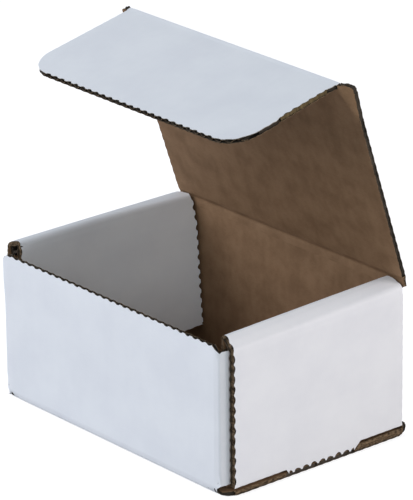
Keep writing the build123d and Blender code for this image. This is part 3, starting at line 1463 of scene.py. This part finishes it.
@dataclass
class Lid(Panel):
    """The lid panel with its corner ears."""

    piece: ClassVar[str] = "lid_panel"
    body: ClassVar[str] = "lid"
    node: ClassVar[str] = "lid"
    half_hinge: float = 103.5
    half_front: float = 105.0
    skew: float = 2.6
    start: float = 5.2
    end: float = 136.0
    ear_reach: float = 1.85
    ear_half: float = 94.5
    bend_place: Point2 = (94.2, 137.3)
    bend_way: Point2 = (0.857, 0.516)
    left_inset: float = 3.2
    left_front_inset: float = 2.4
    offset: float = 0.45
    bend_share: float = 0.5
    bend_pull: Point2 = (1.15, 0.6)

    def place(self, a: float, b: float, n: float) -> Vector:
        """Place a point of the lid.

        Args:
            a: Place across the flutes, from the middle.
            b: Distance from the lid's crease.
            n: Distance outward from the middle of the board.

        Returns:
            The point in millimetres.
        """
        crease = Vector((0, BOX.crease_y, BOX.lid_crease_height))
        direction, outward = slope(BOX.lid_angle)
        back = self.bent(a, b)
        across, along = a - self.bend_pull[0] * back, b - self.bend_pull[1] * back
        place = crease + Vector((across, 0, 0)) + direction * along
        return place + outward * (n + back + self.offset)

    def bent(self, a: float, b: float) -> float:
        """How far the creased corner beside the right ear stands back from the lid's plane.

        Args:
            a: Place across the flutes, from the middle.
            b: Distance from the lid's crease.

        Returns:
            The distance, 0 on the flat of the lid.
        """
        beyond = (a - self.bend_place[0]) * self.bend_way[0]
        beyond += (b - self.bend_place[1]) * self.bend_way[1]
        return self.bend_share * max(0.0, beyond)

    def side_edge(self, side: int) -> list[Point2]:
        """The lid's side edge.

        Args:
            side: 1 for the right-hand side and -1 for the left.

        Returns:
            Its points from the crease to the ear's outer corner.
        """
        corner = self.ear(side)[0]
        hinge = side * self.half_hinge + (self.left_inset if side < 0 else 0.0)
        front = (corner[0] - side * 0.4, BOX.lid_reach + self.ear_reach - 13.0)
        return [(hinge, self.start), (hinge + side * 0.3, 8.0), front, corner]

    def ear(self, side: int) -> list[Point2]:
        """The outline of one ear.

        Args:
            side: 1 for the right-hand side and -1 for the left.

        Returns:
            Its points from the side edge round to its slit beside the flap's crease.
        """
        ear = BOX.lid_reach + self.ear_reach
        inset = self.left_front_inset if side < 0 else 0.0
        front = side * self.half_front + self.skew + inset
        return [
            (front, ear - 4.5),
            (front - side * 0.3, ear - 2.4),
            (front - side * 1.3, ear - 0.9),
            (front - side * 3.4, ear - 0.1),
            (front - side * 6.0, ear),
            (side * (self.ear_half + 1.0), ear - 0.3),
            (side * (self.ear_half + 0.2), ear - 0.9),
            (side * self.ear_half, ear - 2.4),
        ]

    def sheet(self) -> Sheet:
        """The sheet of the lid.

        Returns:
            The sheet, with its grid lines closer at the bent corner.
        """
        right, left = self.side_edge(1), self.side_edge(-1)
        right_ear, left_ear = self.ear(1), self.ear(-1)
        half, end = self.ear_half, self.end
        crease = [right_ear[-1], (half, end), (-half, end), left_ear[-1]]
        runs = [
            EdgeRun(EdgeKind.FLUTE_SIDE, right),
            EdgeRun(EdgeKind.EAR, right_ear),
            EdgeRun(EdgeKind.CREASE, crease),
            EdgeRun(EdgeKind.EAR, left_ear[::-1]),
            EdgeRun(EdgeKind.FLUTE_SIDE, left[::-1]),
            EdgeRun(EdgeKind.CREASE, [left[0], right[0]]),
        ]
        return Sheet(
            runs=runs,
            place=self.place,
            a_lines=lines((-112, 80, 8.0), (80, 112, 2.0)),
            b_lines=lines((0, 108, 8.0), (108, 142, 2.0)),
            seed=0.7,
        )


@dataclass
class TuckFlap(Panel):
    """The tuck flap on the lid's front edge."""

    piece: ClassVar[str] = "tuck_flap_panel"
    body: ClassVar[str] = "flap"
    node: ClassVar[str] = "tuck_flap"
    lid: Lid
    reach: float = 81.0
    half_root: float = 93.4
    half_width: float = 94.2
    corner_radius: float = 19.0
    left_extra: float = 1.2
    start: float = 1.7
    jog: float = 45.0

    def place(self, a: float, b: float, n: float) -> Vector:
        """Place a point of the flap.

        Args:
            a: Place across the flutes, from the middle.
            b: Distance from the flap's crease.
            n: Distance outward from the middle of the board.

        Returns:
            The point in millimetres.
        """
        direction, outward = slope(BOX.lid_angle - BOX.flap_fold)
        crease = self.lid.place(0, BOX.lid_reach, 0)
        return crease + Vector((a, 0, 0)) + direction * b + outward * n

    def sheet(self) -> Sheet:
        """The sheet of the flap.

        Returns:
            The sheet, with the torn stretch on its right-hand side.
        """
        radius = self.corner_radius
        arc = quarter((self.half_width - radius, self.reach - radius), radius, 6)
        left_arc = [(a - self.left_extra, b) for a, b in mirrored(arc)]
        left_root = (-self.half_root, self.start)
        root = [(self.half_root + 0.5, self.start), (self.half_root - 0.2, 8.0)]
        torn_end = (self.half_root, self.jog)
        runs = [
            EdgeRun(EdgeKind.FLUTE_SIDE, root),
            EdgeRun(EdgeKind.TORN_SIDE, [root[-1], torn_end]),
            EdgeRun(
                EdgeKind.FLUTE_SIDE, [torn_end, (self.half_width + 0.5, self.jog + 4.0), arc[0]]
            ),
            EdgeRun(EdgeKind.ROUND, arc),
            EdgeRun(EdgeKind.FLAP_FRONT, [arc[-1], left_arc[0]]),
            EdgeRun(EdgeKind.SMOOTH_ROUND, left_arc),
            EdgeRun(EdgeKind.SLOT_SIDE, [left_arc[-1], left_root]),
            EdgeRun(EdgeKind.CREASE, [left_root, root[0]]),
        ]
        return Sheet(
            runs=runs,
            place=self.place,
            a_lines=lines((-95, 95, 8.0)),
            b_lines=lines((0, 81, 8.0)),
            seed=0.9,
        )


@dataclass
class CreaseStrip:
    """The strip of board that carries a crease from one panel to the next."""

    name: str
    bodies: tuple[str, str]
    before: Placement
    after: Placement
    half_start: float
    half_end: float
    before_end: float
    after_start: float
    left_inset: float = 0.0
    end_kind: EdgeKind = EdgeKind.CREASE_END
    crushed: float = 0.6
    tension: float = 1.0
    widening: float = 1.0
    rows: int = 14

    def place(self, a: float, b: float, n: float) -> Vector:
        """Place a point of the strip.

        Args:
            a: Place across the flutes.
            b: Share of the way from the first panel to the second, times the rows.
            n: Distance outward from the middle of the board.

        Returns:
            The point in millimetres, on a curve that leaves both panels in line with them.
        """
        share = b / self.rows
        start, end = self.before(a, self.before_end, n), self.after(a, self.after_start, n)
        lead = self.before(a, self.before_end + 1, n) - start
        tail = self.after(a, self.after_start + 1, n) - end
        turn = lead.dot(tail)
        span = (end - start) * 3 * self.tension / (1 - turn * turn)
        leg, last_leg = span.dot(lead - turn * tail), span.dot(tail - turn * lead)
        h00 = 2 * share**3 - 3 * share**2 + 1
        h10 = share**3 - 2 * share**2 + share
        h01 = -2 * share**3 + 3 * share**2
        h11 = share**3 - share**2
        return h00 * start + h10 * leg * lead + h01 * end + h11 * last_leg * tail

    def crush(self, a: float, b: float) -> float:
        """Share of the board's thickness that is left at a place, least in the middle row."""
        middle = abs(b / self.rows - 0.5) * 2
        return self.crushed + (1 - self.crushed) * smoothstep(0.1, 0.9, middle)

    def sheet(self) -> Sheet:
        """The sheet of the strip.

        Returns:
            The sheet, with a grid line at each row.
        """
        first, full = self.half_start, self.half_end
        left = self.left_inset - full
        rows, widening = float(self.rows), self.widening
        runs = [
            EdgeRun(EdgeKind.CREASE, [(-first, 0.0), (first, 0.0)]),
            EdgeRun(self.end_kind, [(first, 0.0), (full, widening), (full, rows)]),
            EdgeRun(EdgeKind.CREASE, [(full, rows), (left, rows)]),
            EdgeRun(self.end_kind, [(left, rows), (left, widening), (-first, 0.0)]),
        ]
        return Sheet(
            runs=runs,
            place=self.place,
            a_lines=lines((-full, full, 6.0)),
            b_lines=[float(row) for row in range(self.rows + 1)],
            crush=self.crush,
            seed=0.5,
        )

    def build(self, materials: Materials) -> bpy.types.Object:
        """Make the strip, curved from one panel into the next.

        Args:
            materials: One material for each slot.

        Returns:
            The piece.
        """
        mesh = BoardMesh(self.name)
        mesh.add(self.sheet())
        piece = mesh.build(materials)
        start, end = self.place(0, 0.0, 0), self.place(0, float(self.rows), 0)
        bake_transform(piece)
        return piece


@dataclass(frozen=True)
class Lamp:
    """A soft rectangular lamp that faces the box, in metres and watts."""

    name: str
    place: tuple[float, float, float]
    size: Point2
    power: float
    colour: str
    aim_height: float = 0.1

    def build(self) -> None:
        """Make the lamp."""
        data = bpy.data.lights.new(self.name, "AREA")
        data.shape = "RECTANGLE"
        data.size, data.size_y = self.size
        data.energy = self.power
        data.color = linear(self.colour)[:3]
        lamp = bpy.data.objects.new(self.name, data)
        lamp.location = self.place
        aim = Vector((0, 0, self.aim_height)) - lamp.location
        lamp.rotation_euler = aim.to_track_quat("-Z", "Y").to_euler()
        bpy.context.scene.collection.objects.link(lamp)


@dataclass
class Studio:
    """Floor, surroundings, lamps and camera."""

    azimuth: float = 49.852
    elevation: float = 21.258
    roll: float = -0.646
    focal_px: float = 4186.59
    distance: float = 2525.889
    shift_right: float = 2.888
    shift_up: float = 98.563
    picture_long_side: int = 500
    sensor: float = 36.0
    floor_reach: float = 30.0
    lamps: tuple[Lamp, ...] = (
        Lamp("front_left", (-1.09, -1.56, 1.2), (1.4, 1.4), 29.5, "#f5f7ff"),
        Lamp("right", (1.94, -0.74, 0.95), (1.4, 0.8), 8.0, "#f9ffff"),
        Lamp("right_rear", (1.52, 1.52, 0.56), (1.2, 0.7), 23.9, "#ffefe9"),
    )

    def camera(self) -> None:
        """Make the camera at the photograph's viewing angle."""
        az, el, roll = (math.radians(x) for x in (self.azimuth, self.elevation, self.roll))
        toward = Vector((math.sin(az) * math.cos(el), -math.cos(az) * math.cos(el), math.sin(el)))
        right0 = Vector((math.cos(az), math.sin(az), 0))
        up0 = toward.cross(right0)
        right = math.cos(roll) * right0 + math.sin(roll) * up0
        up = -math.sin(roll) * right0 + math.cos(roll) * up0
        place = right * self.shift_right + up * self.shift_up + toward * self.distance
        data = bpy.data.cameras.new("camera")
        data.sensor_width = self.sensor
        data.lens = self.sensor * self.focal_px / self.picture_long_side
        data.clip_end = 100
        camera = bpy.data.objects.new("camera", data)
        turn = Matrix((right, up, toward)).transposed().to_4x4()
        camera.matrix_world = Matrix.Translation(place * MM) @ turn
        bpy.context.scene.collection.objects.link(camera)
        bpy.context.scene.camera = camera

    def floor(self) -> None:
        """Make the floor: white to the camera but for the object's shadow."""
        mesh = bpy.data.meshes.new("floor")
        reach = self.floor_reach
        corners = [(-reach, -reach, 0), (reach, -reach, 0), (reach, reach, 0), (-reach, reach, 0)]
        mesh.from_pydata(corners, [], [(0, 1, 2, 3)])
        floor = bpy.data.objects.new("floor", mesh)
        bpy.context.scene.collection.objects.link(floor)
        material = bpy.data.materials.new("white_sweep")
        material.use_nodes = True
        tree = material.node_tree
        tree.nodes.clear()
        colour = (0.6, 0.6, 0.61, 1.0)
        matt = add_node(tree, "ShaderNodeBsdfDiffuse", {}, {"Color": colour}).outputs[0]
        glow = add_node(tree, "ShaderNodeEmission", {}, {"Strength": 0.7}).outputs[0]
        lit = add_node(tree, "ShaderNodeAddShader", {}, {}, {0: matt, 1: glow}).outputs[0]
        path = add_node(tree, "ShaderNodeLightPath").outputs["Is Camera Ray"]
        links = {0: path, 1: matt, 2: lit}
        mix = add_node(tree, "ShaderNodeMixShader", {}, {}, links).outputs[0]
        add_node(tree, "ShaderNodeOutputMaterial", {}, {}, {"Surface": mix})
        mesh.materials.append(material)

    def world(self) -> None:
        """Make the surroundings: an even pale room that the camera sees as white."""
        world = bpy.data.worlds.new("room")
        bpy.context.scene.world = world
        world.use_nodes = True
        tree = world.node_tree
        tree.nodes.clear()
        pale_blue = {"Color": (0.84, 0.92, 1.0, 1.0), "Strength": 0.4}
        room = add_node(tree, "ShaderNodeBackground", {}, pale_blue).outputs[0]
        white = add_node(tree, "ShaderNodeBackground", {}, {"Strength": 1.0}).outputs[0]
        path = add_node(tree, "ShaderNodeLightPath").outputs["Is Camera Ray"]
        links = {0: path, 1: room, 2: white}
        mix = add_node(tree, "ShaderNodeMixShader", {}, {}, links).outputs[0]
        add_node(tree, "ShaderNodeOutputWorld", {}, {}, {"Surface": mix})

    def build(self) -> None:
        """Make everything that isn't the object."""
        self.camera()
        self.floor()
        self.world()
        for lamp in self.lamps:
            lamp.build()
        bpy.context.scene.view_settings.view_transform = "Standard"


def back_wall(a: float, b: float, n: float) -> Vector:
    """Place a point of the back wall by its height b."""
    return Vector((a, BOX.half_depth - BOARD.half + n, b))


def main() -> None:
    """Build the box and the studio."""
    logging.basicConfig(level=logging.INFO, format="%(message)s")
    materials = Papers().build()
    walls = Walls()
    lid = Lid()
    flap = TuckFlap(lid)
    right_side = RolledSide(
        "right_side",
        1,
        front_corners=((103.45, 0), (103.45, 90.6), (95.2, 99.5), (96.2, 50), (96.45, 0)),
        rear_corners=((103.45, 0), (103.45, 95.0), (90.5, 98.2), (94.5, 50), (96.45, 0)),
        radii=(3.6, 1.5, 60.0),
        crushed=(0.85, 0.7, 1.0),
        sway_start=-63.0,
        keep=0.9317,
    )
    left_side = RolledSide(
        "left_side",
        -1,
        front_corners=((103.45, 0), (103.35, 96.6), (92.3, 99.9), (92.7, 82), (93.9, 0)),
        rear_corners=((103.45, 0), (103.45, 96.9), (88.3, 98.5), (83.9, 82), (78.0, 0)),
        radii=(4.0, 2.0, 25.0),
        crushed=(0.8, 0.85, 1.0),
        sway_start=-7.0,
        keep=0.914,
        foot_rear=16.0,
    )
    hinge = CreaseStrip(
        "lid_crease_strip",
        ("box", "lid"),
        before=back_wall,
        after=lid.place,
        half_start=walls.top_half,
        half_end=lid.half_hinge,
        left_inset=lid.left_inset,
        before_end=walls.back_top,
        after_start=lid.start,
        end_kind=EdgeKind.PALE_CREASE_END,
        tension=1.05,
    )
    front = CreaseStrip(
        "flap_crease_strip",
        ("lid", "flap"),
        before=lid.place,
        after=flap.place,
        half_start=94.3,
        half_end=94.3,
        before_end=lid.end,
        after_start=flap.start,
        crushed=0.95,
        tension=1.45,
    )
    for part in (walls, right_side, left_side, lid, flap, hinge, front):
        part.build(materials)
    Studio().build()


if __name__ == "__main__":
    main()
